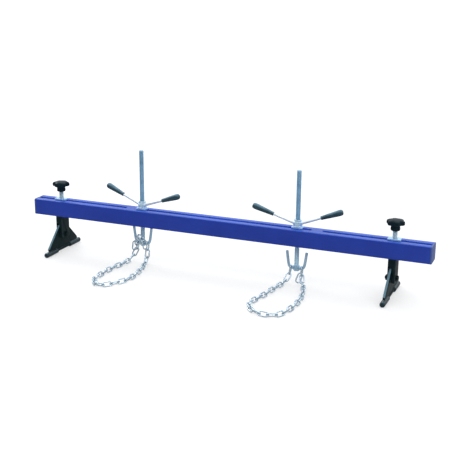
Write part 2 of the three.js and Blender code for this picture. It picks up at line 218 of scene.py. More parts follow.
def plated(name, dull, bright, rough, grain, crevice_shade=(0.05, 0.08, 0.10), pits=0.15, metal=0.7, haze=(0.62, 0.72, 0.86), rubbed_and_lit=0.45, lit_low_end=None):
    m, nodes, links, b, at = blank(name)
    cloud = noise_of(nodes, links, at, 38.0, 5.0, 0.65)
    colour = ramp(nodes, links, cloud, [(0.28, dull), (0.52, tuple((x + y) / 2 for x, y in zip(dull, bright))), (0.72, bright)])
    tint = noise_of(nodes, links, at, 14.0, 2.0)
    colour = mixed(nodes, links, span(nodes, links, tint, 0.45, 0.75, 0.0, 0.35), colour, haze)
    if lit_low_end:
        # painted light: below the given heights the colour is mixed towards a lighter one
        up = nodes.new("ShaderNodeSeparateXYZ")
        links.new(at, up.inputs["Vector"])
        colour = mixed(nodes, links, span(nodes, links, up.outputs["Z"], lit_low_end[1], lit_low_end[2], 0.9, 0.0), colour, lit_low_end[0])
    # painted shade: hollows, by the edge values, are darkened towards the crevice shade colour
    hollow = span(nodes, links, attribute(nodes, "edge"), -0.6, -0.08, 0.75, 0.0)
    colour = mixed(nodes, links, hollow, colour, crevice_shade)
    # plating rubbed bright on the edges, and also a painted highlight: convex edges are mixed towards near white
    shine = span(nodes, links, attribute(nodes, "edge"), 0.2, 0.8, 0.0, rubbed_and_lit)
    colour = mixed(nodes, links, shine, colour, (0.86, 0.92, 0.97))
    links.new(colour, b.inputs["Base Color"])
    b.inputs["Metallic"].default_value = metal
    fine = noise_of(nodes, links, at, 260.0, 4.0, 0.7)
    wide = noise_of(nodes, links, at, 30.0, 3.0)
    r = span(nodes, links, fine, 0.3, 0.7, rough - 0.08, rough + 0.1)
    r = math_of(nodes, links, "ADD", r, span(nodes, links, wide, 0.35, 0.7, -0.04, 0.08))
    links.new(r, b.inputs["Roughness"])
    brushed = noise_of(nodes, links, at, 700.0, 2.0, 0.5, grain)
    bumps(nodes, links, b, [(wide, 0.10, 0.0006), (fine, pits, 0.0002), (brushed, 0.10, 0.0001)])
    return m


def dipped(name, dark, light, rough, grain_scale, grain_bump, coat=0.0, gloss=0.3, dust_and_sheen=None):
    m, nodes, links, b, at = blank(name)
    cloud = noise_of(nodes, links, at, 26.0, 4.0, 0.6)
    colour = ramp(nodes, links, cloud, [(0.3, dark), (0.72, light)])
    # rubbed edges, and also a painted highlight: convex edges are lightened
    rub_and_lit = span(nodes, links, attribute(nodes, "edge"), 0.15, 0.8, 0.0, 0.4)
    colour = mixed(nodes, links, rub_and_lit, colour, tuple(min(1.0, 2.2 * c + 0.02) for c in light))
    chalk = span(nodes, links, noise_of(nodes, links, at, 190.0, 5.0, 0.75), 0.55, 0.8, 0.0, 0.25)
    colour = mixed(nodes, links, chalk, colour, tuple(min(1.0, 1.8 * c + 0.015) for c in light))
    if dust_and_sheen:
        # painted highlight: faces that look up get a light, patchy sheen standing in for the light from above
        up = nodes.new("ShaderNodeSeparateXYZ")
        links.new(nodes.new("ShaderNodeNewGeometry").outputs["Normal"], up.inputs["Vector"])
        top_sheen = math_of(nodes, links, "MULTIPLY", span(nodes, links, up.outputs["Z"], dust_and_sheen[1], dust_and_sheen[2], 0.0, 0.9), span(nodes, links, noise_of(nodes, links, at, 34.0, 3.0), 0.38, 0.58, dust_and_sheen[3], 1.0))
        colour = mixed(nodes, links, top_sheen, colour, dust_and_sheen[0])
    links.new(colour, b.inputs["Base Color"])
    links.new(span(nodes, links, cloud, 0.3, 0.7, rough - 0.07, rough + 0.09), b.inputs["Roughness"])
    b.inputs["Coat Weight"].default_value = coat
    b.inputs["Coat Roughness"].default_value = 0.2
    b.inputs["Specular IOR Level"].default_value = gloss
    b.inputs["Specular Tint"].default_value = (0.55, 0.86, 1.0, 1)
    grain = noise_of(nodes, links, at, grain_scale, 3.0, 0.6)
    swell = noise_of(nodes, links, at, 70.0, 2.0)
    bumps(nodes, links, b, [(swell, 0.10, 0.0008), (grain, grain_bump, 0.0003)])
    return m


# BLUE's last argument is painted light: a lighter blue for upward faces, how much of it, and a light blue for the slot
# rims and channel insides
BLUE = paint("powder_coat_blue", (0.006, 0.032, 0.305), (0.008, 0.039, 0.350), (0.03, 0.09, 0.46), 0.34, 0.10, 0.0, 0.29, ((0.020, 0.092, 0.520), 0.75, (0.090, 0.260, 1.0)))
# painted light: the end plates get a lighter, greyer copy of the blue coat, standing in for the light the end faces
# catch
BLUE_LIT_ENDS = paint("powder_coat_blue_lit_ends", (0.046, 0.082, 0.262), (0.056, 0.096, 0.296), (0.05, 0.11, 0.42), 0.34, 0.10, 0.0, 0.29)
# BLACK's rim colour is a painted highlight on the front slopes of the foot plates
BLACK = paint("enamel_black", (0.0045, 0.0120, 0.0140), (0.0075, 0.0170, 0.0190), (0.20, 0.26, 0.29), 0.32, 0.14, 0.0, 0.085, None, (0.125, 0.225, 0.280), (0.5, 0.88, 1.0))
ZINC = plated("zinc_plate", (0.56, 0.80, 1.0), (0.80, 0.97, 1.0), 0.34, (1.0, 1.0, 1.0), metal=0.65)
BRIGHT = plated("zinc_plate_bright", (0.58, 0.68, 0.76), (0.84, 0.91, 0.96), 0.34, (1.0, 1.0, 1.0), metal=0.5, haze=(0.70, 0.80, 0.90))
PLATE = plated("zinc_plate_flat", (0.40, 0.66, 1.0), (0.56, 0.82, 1.0), 0.34, (1.0, 1.0, 1.0), metal=0.5, haze=(0.52, 0.74, 1.0), rubbed_and_lit=0.3)
# painted light: the lower end of each rod is lightened, standing in for light under the beam
STUD = plated("zinc_plate_threaded", (0.16, 0.34, 0.52), (0.26, 0.49, 0.72), 0.38, (1.0, 1.0, 0.2), metal=0.6, haze=(0.34, 0.54, 0.76), rubbed_and_lit=0.12, lit_low_end=((0.62, 0.86, 1.0), 0.13, 0.17))
SCREW = plated("zinc_plate_screw", (0.30, 0.42, 0.50), (0.48, 0.62, 0.70), 0.38, (1.0, 1.0, 0.3), metal=0.6, haze=(0.52, 0.64, 0.72), rubbed_and_lit=0.2)
LINK = plated("zinc_plate_links", (0.46, 0.62, 0.74), (0.74, 0.88, 0.97), 0.24, (1.0, 1.0, 1.0), (0.015, 0.03, 0.045), 0.22, metal=0.75)
FORGED = plated("zinc_plate_forged", (0.35, 0.56, 0.74), (0.58, 0.80, 0.97), 0.38, (1.0, 1.0, 1.0), (0.02, 0.035, 0.05), 0.4, metal=0.7)
# the last argument of GRIP and RUBBER is a painted top sheen: colour, upward range of the normal, least patch strength
GRIP = dipped("dipped_grip", (0.0170, 0.0400, 0.0540), (0.0310, 0.0660, 0.0880), 0.40, 330.0, 0.22, 0.0, 0.24, ((0.170, 0.290, 0.390), 0.25, 0.95, 0.55))
RUBBER = dipped("sleeve_rubber", (0.009, 0.020, 0.027), (0.016, 0.033, 0.042), 0.24, 260.0, 0.22, 0.0, 0.35, ((0.36, 0.46, 0.51), 0.90, 0.99, 0.25))
KNOB = dipped("moulded_phenolic", (0.0045, 0.0120, 0.0170), (0.0080, 0.0190, 0.0250), 0.25, 520.0, 0.05, 0.0, 0.06)


# --------------------------------------------------------------- mesh builders
def edge_values(me):
    """How convex the surface is at each vertex, from -1 in a groove to 1 on an edge."""
    n = len(me.vertices)
    co, no = np.zeros(n * 3), np.zeros(n * 3)
    me.vertices.foreach_get("co", co)
    me.vertex_normals.foreach_get("vector", no)
    co, no = co.reshape(-1, 3), no.reshape(-1, 3)
    e = np.zeros(len(me.edges) * 2, np.int64)
    me.edges.foreach_get("vertices", e)
    e = e.reshape(-1, 2)
    d = co[e[:, 1]] - co[e[:, 0]]
    length = np.maximum(np.linalg.norm(d, axis=1), 1e-9)
    d = d / length[:, None]
    total, count = np.zeros(n), np.zeros(n)
    for a, s in ((0, 1.0), (1, -1.0)):
        np.add.at(total, e[:, a], -s * (d * no[e[:, a]]).sum(1))
        np.add.at(count, e[:, a], 1.0)
    v = np.clip(total / np.maximum(count, 1) * 2.2, -1, 1)
    for _ in range(1):
        s, c = v.copy(), np.ones(n)
        for a, b in ((0, 1), (1, 0)):
            np.add.at(s, e[:, a], v[e[:, b]])
            np.add.at(c, e[:, a], 1.0)
        v = 0.5 * v + 0.5 * s / c
    return v.astype(np.float32)


def finish_mesh(ob, material, smooth=38):
    me = ob.data
    me.materials.clear()
    me.materials.append(material)
    me.polygons.foreach_set("use_smooth", [True] * len(me.polygons))
    me.set_sharp_from_angle(angle=math.radians(smooth))
    a = me.attributes.new("edge", "FLOAT", "POINT")
    a.data.foreach_set("value", edge_values(me))
    me.update()


def applied(ob):
    """ob with its modifiers made real."""
    dg = bpy.context.evaluated_depsgraph_get()
    dg.update()
    new = bpy.data.meshes.new_from_object(ob.evaluated_get(dg))
    old = ob.data
    ob.modifiers.clear()
    ob.data = new
    new.name = ob.name
    bpy.data.meshes.remove(old)
    return ob


def mesh_of(name, parts):
    """One object from (vertices in mm, faces) parts, with its faces turned out."""
    verts, faces = [], []
    for v, f in parts:
        base = len(verts)
        verts += [(x * MM, y * MM, z * MM) for x, y, z in v]
        faces += [[i + base for i in face] for face in f]
    me = bpy.data.meshes.new(name)
    me.from_pydata(verts, [], faces)
    bm = bmesh.new()
    bm.from_mesh(me)
    bmesh.ops.remove_doubles(bm, verts=bm.verts, dist=2e-6)
    bmesh.ops.dissolve_degenerate(bm, edges=bm.edges, dist=1e-7)
    bmesh.ops.recalc_face_normals(bm, faces=bm.faces)
    bm.to_mesh(me)
    bm.free()
    ob = bpy.data.objects.new(name, me)
    bpy.context.scene.collection.objects.link(ob)
    return ob


def drop(*obs):
    for o in obs:
        me = o.data
        bpy.data.objects.remove(o)
        bpy.data.meshes.remove(me)


def boolean(ob, cutters, how="DIFFERENCE"):
    for c in cutters:
        m = ob.modifiers.new("cut", "BOOLEAN")
        m.operation, m.object, m.solver = how, c, "EXACT"
    applied(ob)
    drop(*cutters)
    return ob


def bevelled(ob, width=0.8, segments=2, angle=35):
    m = ob.modifiers.new("bevel", "BEVEL")
    m.width, m.segments = width * MM, segments
    m.limit_method, m.angle_limit = "ANGLE", math.radians(angle)
    m.use_clamp_overlap = True
    m.miter_outer = "MITER_ARC"
    m.harden_normals = False
    return applied(ob)


def remeshed(ob, voxel=0.9, rounds=6):
    m = ob.modifiers.new("voxels", "REMESH")
    m.mode, m.voxel_size = "VOXEL", voxel * MM
    s = ob.modifiers.new("smooth", "SMOOTH")
    s.factor, s.iterations = 0.5, rounds
    return applied(ob)


def rings(rows, close_a=True, close_b=True, loop=False):
    """Faces between rows of points that have the same count; each row is a closed ring."""
    n = len(rows[0])
    verts = [p for r in rows for p in r]
    faces = []
    last = len(rows) if loop else len(rows) - 1
    for i in range(last):
        a, b = i * n, ((i + 1) % len(rows)) * n
        for k in range(n):
            j = (k + 1) % n
            faces.append([a + k, a + j, b + j, b + k])
    if not loop and close_a:
        faces.append(list(range(n))[::-1])
    if not loop and close_b:
        faces.append([(len(rows) - 1) * n + k for k in range(n)])
    return verts, faces


def lathe(profile, segments=48, radius=None):
    """Turned about the vertical. profile is (radius, height); a ring of radius 0 is a point."""
    rows, verts, faces = [], [], []
    for i, (r, h) in enumerate(profile):
        if r <= 1e-6:
            rows.append([len(verts)])
            verts.append((0.0, 0.0, h))
            continue
        row = []
        for k in range(segments):
            a = 2 * math.pi * k / segments
            rr = radius(r, a, h, i) if radius else r
            row.append(len(verts))
            verts.append((rr * math.cos(a), rr * math.sin(a), h))
        rows.append(row)
    for a, b in zip(rows, rows[1:]):
        for k in range(segments):
            j = (k + 1) % segments
            if len(a) == 1 and len(b) == 1:
                continue
            if len(a) == 1:
                faces.append([a[0], b[j], b[k]])
            elif len(b) == 1:
                faces.append([a[k], a[j], b[0]])
            else:
                faces.append([a[k], a[j], b[j], b[k]])
    return verts, faces


def ring_lathe(profile, segments=48):
    """The same, for a profile that closes on itself round a bore."""
    rows = [[(r * math.cos(2 * math.pi * k / segments), r * math.sin(2 * math.pi * k / segments), h) for k in range(segments)] for r, h in profile]
    return rings(rows, loop=True)


def moved(part, matrix):
    v, f = part
    return [tuple(matrix @ Vector(p)) for p in v], f


def shift(x=0.0, y=0.0, z=0.0):
    return Matrix.Translation((x, y, z))


TO_X = Matrix.Rotation(math.radians(90), 4, "Y")
TO_Y = Matrix.Rotation(math.radians(-90), 4, "X")


def rounded(points, radii, steps=5):
    """A closed outline with each corner turned into an arc of its radius."""
    out, n = [], len(points)
    for i in range(n):
        p, a, b = Vector(points[i]), Vector(points[i - 1]), Vector(points[(i + 1) % n])
        r = radii[i] if isinstance(radii, (list, tuple)) else radii
        u, v = (a - p).normalized(), (b - p).normalized()
        turn = math.acos(max(-1, min(1, u.dot(v))))
        if r <= 0 or abs(turn - math.pi) < 0.02:
            out.append(tuple(p))
            continue
        run = min(r / math.tan(turn / 2), 0.49 * (a - p).length, 0.49 * (b - p).length)
        r = run * math.tan(turn / 2)
        centre = p + (u + v).normalized() * (r / math.sin(turn / 2))
        s, e = p + u * run - centre, p + v * run - centre
        full = math.acos(max(-1, min(1, s.normalized().dot(e.normalized()))))
        sign = 1 if s.x * e.y - s.y * e.x > 0 else -1
        for k in range(steps + 1):
            t = sign * full * k / steps
            c, q = math.cos(t), math.sin(t)
            out.append((centre.x + s.x * c - s.y * q, centre.y + s.x * q + s.y * c))
    return out


def rrect(w, d, r, steps=5):
    """A rectangle w by d about the origin with round corners."""
    return rounded([(-w / 2, -d / 2), (w / 2, -d / 2), (w / 2, d / 2), (-w / 2, d / 2)], r, steps)


def prism(outline, z0, z1, stations=1):
    rows = []
    for k in range(stations + 1):
        z = z0 + (z1 - z0) * k / stations
        rows.append([(x, y, z) for x, y in outline])
    return rings(rows)


def soft_slab(w, d, r, z0, z1, edge=1.0, steps=4, corner=5):
    """A slab with round corners and rounded top and bottom edges."""
    rows = []
    for k in range(steps + 1):
        a = math.pi / 2 * k / steps
        inset, h = edge * (1 - math.sin(a)), edge * (1 - math.cos(a))
        rows.append([(x, y, z0 + h) for x, y in rrect(w - 2 * inset, d - 2 * inset, max(r - inset, 0.15), corner)])
    for k in range(steps, -1, -1):
        a = math.pi / 2 * k / steps
        inset, h = edge * (1 - math.sin(a)), edge * (1 - math.cos(a))
        rows.append([(x, y, z1 - h) for x, y in rrect(w - 2 * inset, d - 2 * inset, max(r - inset, 0.15), corner)])
    return rings(rows)


YZ_TO_X = Matrix(((0, 0, 1, 0), (1, 0, 0, 0), (0, 1, 0, 0), (0, 0, 0, 1)))  # a flat outline's x, y, height become y, z, x


def frames_along(points, first_up=None):
    """(tangent, side, up) at each point, turning as little as possible from one to the next."""
    p = [Vector(q) for q in points]
    t = []
    for i in range(len(p)):
        a, b = p[max(i - 1, 0)], p[min(i + 1, len(p) - 1)]
        t.append((b - a).normalized())
    up = Vector(first_up) if first_up else Vector((0, 0, 1))
    if abs(up.dot(t[0])) > 0.9:
        up = Vector((1, 0, 0))
    up = (up - t[0] * up.dot(t[0])).normalized()
    out = [(t[0], t[0].cross(up), up)]
    for i in range(1, len(p)):
        up = (up - t[i] * up.dot(t[i])).normalized()
        out.append((t[i], t[i].cross(up), up))
    return out


def sweep(points, radius, sides=16, first_up=None, caps=True):
    """A tube along points; radius is a number or a function of (index, angle)."""
    rows = []
    for i, (p, (t, s, u)) in enumerate(zip(points, frames_along(points, first_up))):
        row = []
        for k in range(sides):
            a = 2 * math.pi * k / sides
            r = radius(i, a) if callable(radius) else radius
            row.append(tuple(Vector(p) + s * (r * math.cos(a)) + u * (r * math.sin(a))))
        rows.append(row)
    return rings(rows, caps, caps)


def loop_sweep(points, radius, normal, sides=10):
    """A ring of wire along a flat closed line."""
    n, rows = len(points), []
    normal = Vector(normal).normalized()
    for i in range(n):
        t = (Vector(points[(i + 1) % n]) - Vector(points[i - 1])).normalized()
        s = t.cross(normal)
        row = []
        for k in range(sides):
            a = 2 * math.pi * k / sides
            r = radius(i, a) if callable(radius) else radius
            row.append(tuple(Vector(points[i]) + s * (r * math.cos(a)) + normal * (r * math.sin(a))))
        rows.append(row)
    return rings(rows, loop=True)


def rounded_end_tube(points, radius, sides=16, end=0.5, steps=4):
    """A tube whose two ends are domed over end times its radius."""
    p = [Vector(q) for q in points]
    a, b = (p[0] - p[1]).normalized(), (p[-1] - p[-2]).normalized()
    line, size = [], []
    for k in range(steps, 0, -1):
        c = math.pi / 2 * k / steps
        line.append(p[0] + a * (end * radius * math.sin(c)))
        size.append(max(radius * math.cos(c), 0.02 * radius))
    for q in p:
        line.append(q)
        size.append(radius)
    for k in range(1, steps + 1):
        c = math.pi / 2 * k / steps
        line.append(p[-1] + b * (end * radius * math.sin(c)))
        size.append(max(radius * math.cos(c), 0.02 * radius))
    return sweep([tuple(q) for q in line], lambda i, _: size[i], sides)


def threaded(radius, z0, z1, pitch=2.0, depth=0.85, sides=24, per=6, chamfer=1.4, turn=0.0):
    """A screw with a real right-hand helix, its ends chamfered."""
    steps = max(4, int(round((z1 - z0) / pitch * per)))
    profile = [(0.0, z0), (radius - depth - 0.6, z0)] + [(radius, z0 + (z1 - z0) * k / steps) for k in range(steps + 1)] + [(radius - depth - 0.6, z1), (0.0, z1)]

    def crest(r, a, h, i):
        if i in (1, len(profile) - 2):
            return r
        f = (h / pitch - (a + turn) / (2 * math.pi)) % 1.0
        tooth = 1 - abs(2 * f - 1)                    # 0 in the root, 1 on the crest
        tooth = max(0.0, min(1.0, (tooth - 0.12) / 0.74))
        rr = r - depth * (1 - tooth)
        near = min(h - z0, z1 - h)
        return min(rr, radius - chamfer + near)

    return lathe(profile, sides, crest)


def hexed(corner, profile, sides=72, turn=0.0):
    """A hexagon with turned chamfers: profile is (largest radius there, height)."""
    flat = corner * math.cos(math.pi / 6)

    def edge(r, a, h, i):
        b = (a + turn) % (math.pi / 3) - math.pi / 6
        return min(r, flat / math.cos(b))

    return lathe(profile, sides, edge)


def bead(points, radius, closed=False, ripple=1.6, sides=8, seed=1):
    """A weld bead: a small tube with the ripples of its passes."""
    rnd = random.Random(seed)
    fine = []
    n = len(points)
    for i in range(n if closed else n - 1):
        a, b = Vector(points[i]), Vector(points[(i + 1) % n])
        k = max(1, int((b - a).length / (ripple / 3)))
        fine += [a.lerp(b, j / k) for j in range(k)]
    if not closed:
        fine.append(Vector(points[-1]))
    phase = rnd.random()
    size = [radius * (1 + 0.14 * math.sin(2 * math.pi * (i / 3 + phase)) + rnd.uniform(-0.06, 0.06)) for i in range(len(fine))]
    if closed:
        normal = sum((fine[i].cross(fine[(i + 1) % len(fine)]) for i in range(len(fine))), Vector())
        return loop_sweep([tuple(q) for q in fine], lambda i, _: size[i], normal, sides)
    return sweep([tuple(q) for q in fine], lambda i, _: size[i], sides)


def painted_shade_near(ob, spots, reach=5.2, depth=0.95):
    """Painted shade: darken the surface near the spots (mm), through the edge values."""
    me = ob.data
    co = np.zeros(len(me.vertices) * 3)
    me.vertices.foreach_get("co", co)
    co = co.reshape(-1, 3) * 1000
    value = np.zeros(len(me.vertices), np.float32)
    a = me.attributes["edge"]
    a.data.foreach_get("value", value)
    near = np.full(len(co), 1e9)
    for q in spots:
        near = np.minimum(near, np.linalg.norm(co - np.array(tuple(q)), axis=1))
    value = np.clip(value - depth * np.exp(-((near / reach) ** 2)), -1, 1).astype(np.float32)
    a.data.foreach_set("value", value)


def rimmed(ob, low, high):
    """Mark the narrow faces that slope up to the front between two heights in mm, where a highlight is painted."""
    me = ob.data
    value = np.zeros(len(me.vertices), np.float32)
    for f in me.polygons:
        n, z = f.normal, f.center.z * 1000
        if abs(n.x) < 0.35 and n.y < -0.3 and n.z > 0.2 and low < z < high:
            for i in f.vertices:
                value[i] = 1.0
    a = me.attributes.new("rim", "FLOAT", "POINT")
    a.data.foreach_set("value", value)


def put(name, ob, body, nodes, material, smooth=38):
    finish_mesh(ob, material, smooth)
    ob.name = name
    ob.data.name = name
    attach(ob, body)
    if nodes:
        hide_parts(*nodes)
    return ob


# ---------------------------------------------------------------------- chains
FLOOR = 9
CHAINS = {
    "left": [
        (-334, 0, 64.6), (-335, 0, 56), (-341, -2, 40), (-350, -7, 22), (-356, -20, 11), (-358, -42, FLOOR),
        (-357, -66, FLOOR), (-362, -94, FLOOR), (-368, -126, FLOOR), (-372, -160, FLOOR), (-373, -199, FLOOR),
        (-373, -232, FLOOR), (-367, -268, FLOOR), (-352, -298, FLOOR), (-329, -313, FLOOR), (-307, -305, FLOOR),
        (-291, -284, FLOOR), (-275, -259, FLOOR), (-263, -234, FLOOR), (-257, -204, FLOOR), (-259, -169, FLOOR),
        (-263, -134, FLOOR), (-269, -98, FLOOR), (-279, -62, FLOOR), (-288, -32, 10.5), (-292, -12, 22),
        (-294, -2, 42), (-294, 0, 64.6),
    ],
    "right": [
        (268, 0, 48.6), (267, 0, 41), (262, -3, 28), (257, -13, 14), (254, -32, 10), (252, -54, FLOOR),
        (249, -78, FLOOR), (243, -106, FLOOR), (239, -138, FLOOR), (235, -168, FLOOR), (229, -202, FLOOR),
        (221, -233, FLOOR), (216, -265, FLOOR), (226, -299, FLOOR), (248, -326, FLOOR), (276, -341, FLOOR),
        (306, -345, FLOOR), (333, -334, FLOOR), (349, -304, FLOOR), (356, -270, FLOOR), (360, -236, FLOOR),
        (361, -203, FLOOR), (359, -170, FLOOR), (354, -134, FLOOR), (346, -98, FLOOR), (335, -64, FLOOR),
        (322, -32, 10.2), (312, -12, 18), (308, -2, 32), (308, 0, 48.6),
    ],
}
WIRE = 2.45         # radius of the links' wire
LINK_LONG = 40.0    # outside
LINK_WIDE = 20.6
PITCH = LINK_LONG - 4 * WIRE
HOOK_Z = {"left": 62, "right": 46}
LIFT_X = {"left": -314, "right": 288}


# links past the prongs: from one joint to the next, and the way the flat side faces
FREE_LINKS = {
    "left": [
        ((-344, -12, 47), (-341, -11, 77), (0.55, -0.83, 0.0)),
        ((-341, -11, 77), (-325, -14, 102), (0.75, 0.45, -0.48)),
        ((-325, -14, 102), (-301, -17, 86), (-0.30, -0.90, 0.0)),
        ((-301, -17, 86), (-297, -15, 56), (0.85, -0.50, 0.0)),
        ((-333, -14, 66), (-323, -17, 95), (0.30, -0.95, 0.0)),
        ((-323, -17, 95), (-307, -19, 70), (-0.75, -0.62, 0.2)),
    ],
    "right": [
        ((305.5, -3, 37), (298, -16, 10), (0.25, -0.90, 0.30)),
    ],
}


def curve_through(points, per=20):
    """A centripetal Catmull-Rom curve through the points, as a dense line."""
    p = [Vector(q) for q in points]
    p = [2 * p[0] - p[1]] + p + [2 * p[-1] - p[-2]]
    out = []
    for i in range(1, len(p) - 2):
        a, b, c, d = p[i - 1], p[i], p[i + 1], p[i + 2]
        t1 = (b - a).length ** 0.5
        t2 = t1 + (c - b).length ** 0.5
        t3 = t2 + (d - c).length ** 0.5
        for k in range(per):
            t = t1 + (t2 - t1) * k / per
            u = a.lerp(b, t / t1)
            v = b.lerp(c, (t - t1) / (t2 - t1))
            w = c.lerp(d, (t - t2) / (t3 - t2))
            x = u.lerp(v, t / t2)
            y = v.lerp(w, (t - t1) / (t3 - t1))
            out.append(x.lerp(y, (t - t1) / (t2 - t1)))
    out.append(p[-2])
    return out


def joints_along(line, step):
    """Points on the line, each step from the last in a straight line, and what is left at the end."""
    found, i, t = [line[0].copy()], 0, 0.0
    here = line[0]
    while i < len(line) - 1:
        a, b = line[i], line[i + 1]
        if (b - here).length < step:
            i += 1
            continue
        lo, hi = 0.0, 1.0
        for _ in range(30):
            m = (lo + hi) / 2
            if (a.lerp(b, m) - here).length < step:
                lo = m
            else:
                hi = m
        here = a.lerp(b, hi)
        found.append(here)
        a2 = here
        line = line[: i] + [a2] + line[i + 1:]
    return found, (line[-1] - here).length


def link(centre, along, normal, wide=LINK_WIDE, long=LINK_LONG, wire=WIRE, seam=0.0, steps=9, sides=10):
    """One welded link: an oval of wire with the slight swelling of its weld."""
    along = Vector(along).normalized()
    normal = Vector(normal)
    normal = (normal - along * normal.dot(along)).normalized()
    side = normal.cross(along)
    r = wide / 2 - wire
    straight = long / 2 - wire - r
    pts = []
    for sign in (1, -1):
        for k in range(steps + 1):
            a = math.pi * k / steps - math.pi / 2
            pts.append((sign * (straight + r * math.cos(a)), sign * r * math.sin(a)))
        for k in (1, 2, 3, 4, 5):
            pts.append((sign * straight * (1 - k / 3), sign * r))
    line = [Vector(centre) + along * x + side * y for x, y in pts]
    middle = [i for i, (x, y) in enumerate(pts) if abs(x) < 0.25 * straight and y * (1 if seam >= 0 else -1) > 0]

    def size(i, a):
        return wire * (1.16 if i in middle and seam else 1.0)

    return loop_sweep([tuple(q) for q in line], size, normal, sides)


def make_chain(side):
    z0, x0 = HOOK_Z[side], LIFT_X[side]
    rnd = random.Random(11 if side == "left" else 23)
    ends = [Vector((x0 - 20, 0, z0 + 14.4)), Vector((x0 + 20, 0, z0 + 14.4))]
    inner = CHAINS[side]
    line = curve_through([tuple(ends[0])] + inner[1:-1] + [tuple(ends[1])])
    total = sum((b - a).length for a, b in zip(line, line[1:]))
    count = math.ceil(total / PITCH)
    if count % 2 == 0:
        count += 1
    lo, hi = 0.6 * PITCH, 1.2 * PITCH
    for _ in range(40):
        step = (lo + hi) / 2
        found, rest = joints_along(list(line), step)
        if len(found) - 1 >= count:
            lo = step
        else:
            hi = step
    found, rest = joints_along(list(line), lo)
    knots = found[:count] + [ends[1]]
    # the way each link's flat side faces: along the beam where it wraps a prong,
    # and at 45 degrees, turned by a quarter from link to link, where it lies down
    dirs = [(b - a).normalized() for a, b in zip(knots, knots[1:])]
    n = len(dirs)
    base = [None] * n
    start = 7

    def lying(t):
        up = Vector((0, 0, 1)) - t * t.z
        up.normalize()
        return up, t.cross(up)

    angles = [math.radians(45 + 90 * (i % 2)) for i in range(n)]
    normals = [None] * n
    for i in range(start, n - start):
        up, across = lying(dirs[i])
        a = angles[i] + math.radians(rnd.uniform(-7, 7))
        normals[i] = up * math.cos(a) + across * math.sin(a)
    for order, first in ((range(start - 1, -1, -1), 0), (range(n - start, n), n - 1)):
        order = list(order)
        # carry the lying frame back to the prong, then share out the turn that is left
        i0 = start if first == 0 else n - start - 1
        up, across = lying(dirs[i0])
        frame_up = up.copy()
        carried = []
        for i in order:
            frame_up = (frame_up - dirs[i] * frame_up.dot(dirs[i])).normalized()
            carried.append(frame_up.copy())
        t = dirs[first]
        u = carried[-1]
        s = t.cross(u)
        want = Vector((1, 0, 0))
        want = (want - t * want.dot(t)).normalized()
        have = angles[first]
        need = math.atan2(want.dot(s), want.dot(u))
        extra = (need - have) % math.pi
        if extra > math.pi / 2:
            extra -= math.pi
        for k, i in enumerate(order):
            t, u = dirs[i], carried[k]
            s = t.cross(u)
            a = angles[i] + extra * (k + 1) / len(order)
            normals[i] = u * math.cos(a) + s * math.sin(a)
    parts, tone = [], []
    for i in range(n):
        c = (knots[i] + knots[i + 1]) / 2
        part = link(c, dirs[i], normals[i], seam=rnd.choice((-1, 1)))
        parts.append(part)
    free = []
    for a, b, normal in FREE_LINKS[side]:
        a, b = Vector(a), Vector(b)
        free.append(link((a + b) / 2, b - a, normal, seam=rnd.choice((-1, 1))))
    spare = mesh_of(f"chain_free_links_{side}", free)
    put(f"chain_free_links_{side}", spare, f"lift_rod_{side}", [], LINK, 60)
    ob = mesh_of(f"chain_links_{side}", parts)
    put(f"chain_links_{side}", ob, f"lift_rod_{side}", [f"chain_{side}"], LINK, 60)
    # painted shade at the joints, where the links lie against each other
    painted_shade_near(ob, knots)
    painted_shade_near(spare, [p for a, b, _ in FREE_LINKS[side] for p in (a, b)])


for side in SIDES:
    make_chain(side)

# ------------------------------------------------------------------------ beam
BEAM_BOTTOM, BEAM_TOP = 141.0, 201.0


def make_channel(side):
    sign = -1 if side == "front" else 1
    outline = rounded(
        [(-9, BEAM_BOTTOM), (-33, BEAM_BOTTOM), (-33, BEAM_TOP), (-9, BEAM_TOP), (-9, BEAM_TOP - 4), (-29, BEAM_TOP - 4), (-29, BEAM_BOTTOM + 4), (-9, BEAM_BOTTOM + 4)],
        [0.9, 4.6, 4.6, 0.9, 0.9, 1.6, 1.6, 0.9],
        7,
    )
    if sign > 0:
        outline = [(-y, z) for y, z in outline]
    part = moved(prism(outline, -754.7, 754.7, 64), YZ_TO_X)
    ob = mesh_of("channel", [part])
    return put(f"beam_channel_{side}", ob, "beam", [f"beam_{side}_channel"], BLUE, 30)


for side in ("front", "rear"):
    make_channel(side)


def around(w, d, r, z, steps=8):
    return [(x, y, z) for x, y in rrect(w, d, r, steps)]


for side, sign in (("left", -1), ("right", 1)):
    lo, hi = (755.0, 760.0) if sign > 0 else (-760.0, -755.0)
    slab = moved(soft_slab(67, 61, 6, 0, 5, 1.1, 4, 7), YZ_TO_X)
    slab = moved(slab, shift(lo, 0, 171))
    ob = mesh_of("plate", [slab])
    put(f"beam_end_plate_{side}_formed", ob, "beam", [f"beam_end_plate_{side}"], BLUE_LIT_ENDS, 50)
    seam = moved(bead(around(64.4, 58.4, 6, 0), 0.85, True, 1.8, 8, 5), YZ_TO_X)
    ob = mesh_of("seam", [moved(seam, shift(sign * 754.3, 0, 171))])
    put(f"beam_end_seam_{side}", ob, "beam", [], BLUE, 80)
    for level, z0 in (("top", BEAM_TOP - 4), ("bottom", BEAM_BOTTOM)):
        x = sign * 358
        bar = moved(soft_slab(40, 17.4, 0.8, z0, z0 + 4, 0.7, 3, 3), shift(x, 0, 0))
        beads = []
        for s in (-1, 1):
            zb = z0 + 2.9 if level == "top" else z0 + 1.1
            line = [(x - 19, s * 8.8, zb), (x + 19, s * 8.8, zb)]
            beads.append(bead(line, 1.05, False, 1.8, 8, 3 + s))
        ob = mesh_of("bridge", [bar] + beads)
        put(f"slot_bridge_{level}_{side}_welded", ob, "beam", [f"slot_bridge_{level}_{side}"], BLUE, 45)

